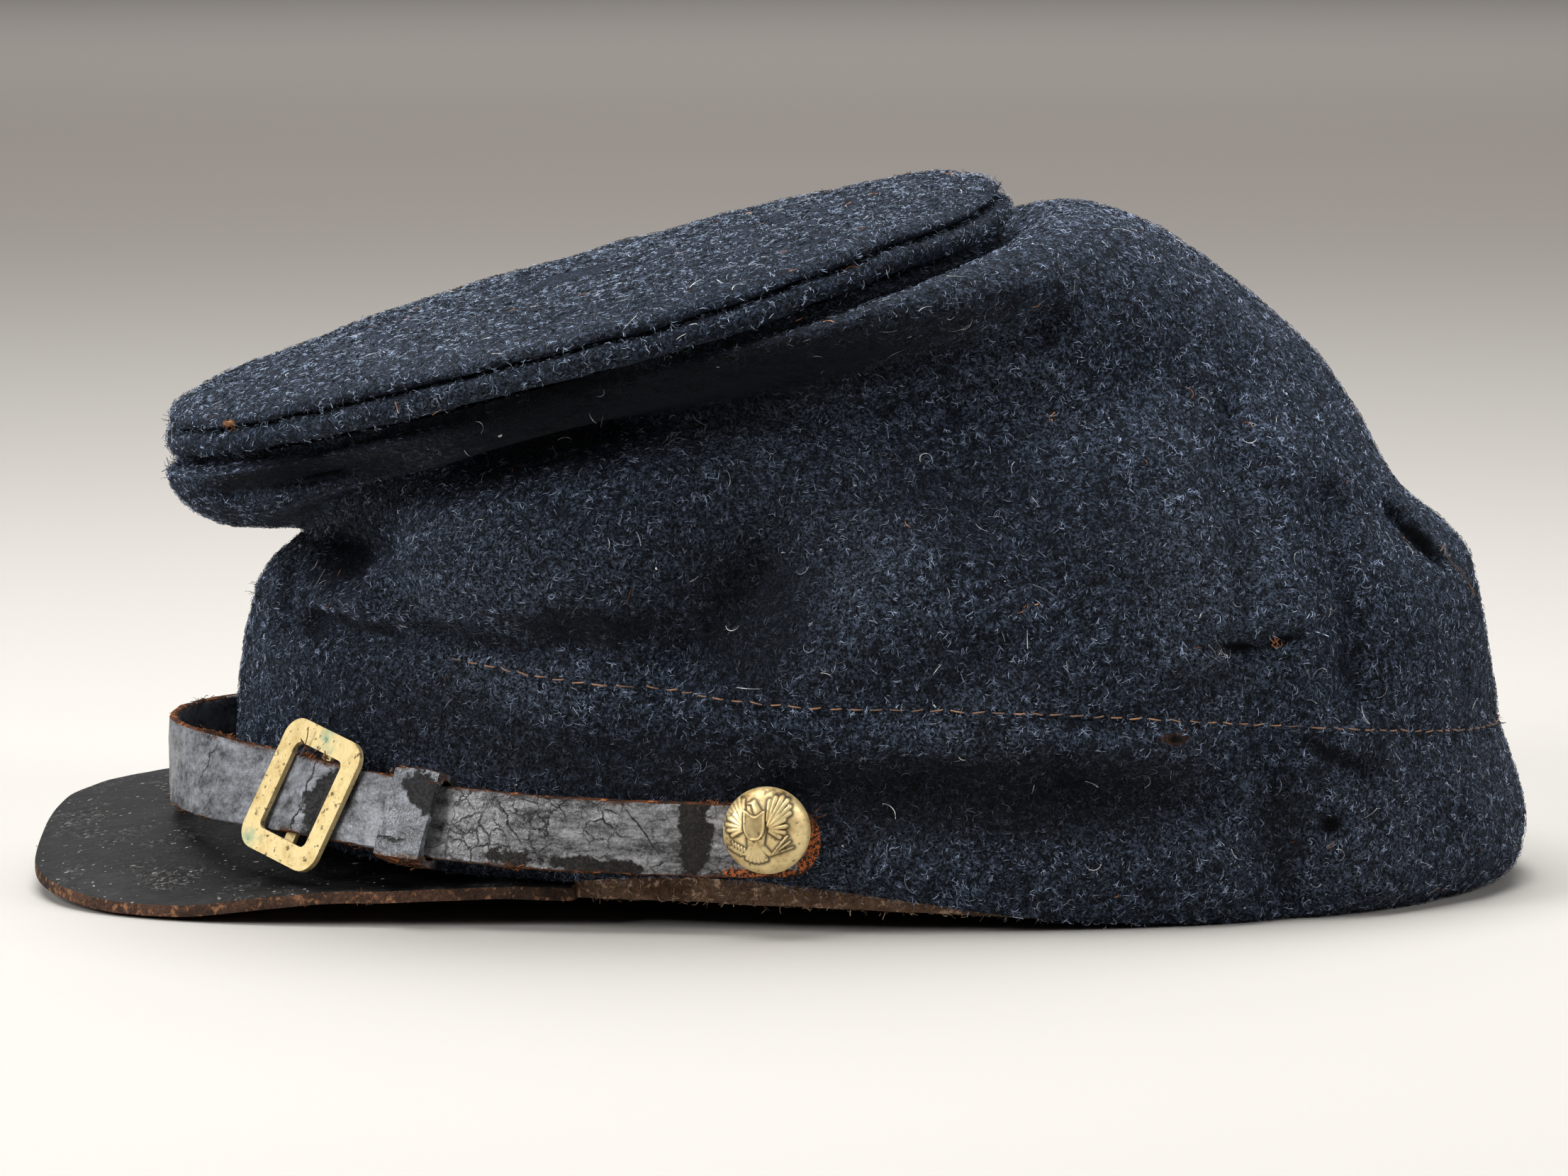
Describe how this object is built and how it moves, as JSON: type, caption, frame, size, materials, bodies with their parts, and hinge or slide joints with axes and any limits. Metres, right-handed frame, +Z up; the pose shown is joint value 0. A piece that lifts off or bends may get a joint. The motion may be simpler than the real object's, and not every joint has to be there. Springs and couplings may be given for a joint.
{
  "type": "forage cap",
  "caption": "Soft wool kepi with a round flat top slumped forward, a wool band, a leather peak, and a leather chin strap with a brass slide buckle and side buttons.",
  "frame": {"origin": "on the surface that the cap rests on, under the middle of the bounding box", "axes": "+X to the back of the cap, with the peak to -X; -Y to the wearer's left side; +Z up"},
  "size_m": [0.255, 0.1578, 0.1191],
  "materials": {
    "wool_crown": "fulled navy wool cloth with raised fibres, worn",
    "wool_band": "fulled navy wool cloth with raised fibres, worn",
    "wool_welt": "navy wool piping",
    "wool_top": "fulled navy wool cloth",
    "brown_leather": "worn unfinished brown leather",
    "peak_leather": "black lacquered leather, scuffed, with a brown cut edge",
    "strap_leather": "black leather, satin, cracked",
    "buckle_brass": "stamped sheet brass with dark pits and verdigris",
    "button_brass": "gilt brass with a raised eagle, darkened in the hollows"
  },
  "bodies": {
    "root": {"crown": "wool_crown", "band": "wool_band", "welt": "wool_welt", "top_disc": "wool_top", "sweatband": "brown_leather", "peak": "peak_leather", "strap_outer": "strap_leather", "strap_inner": "strap_leather", "keeper": "strap_leather", "buckle": "buckle_brass", "button_left": "button_brass", "button_right": "button_brass"}
  },
  "joints": []
}
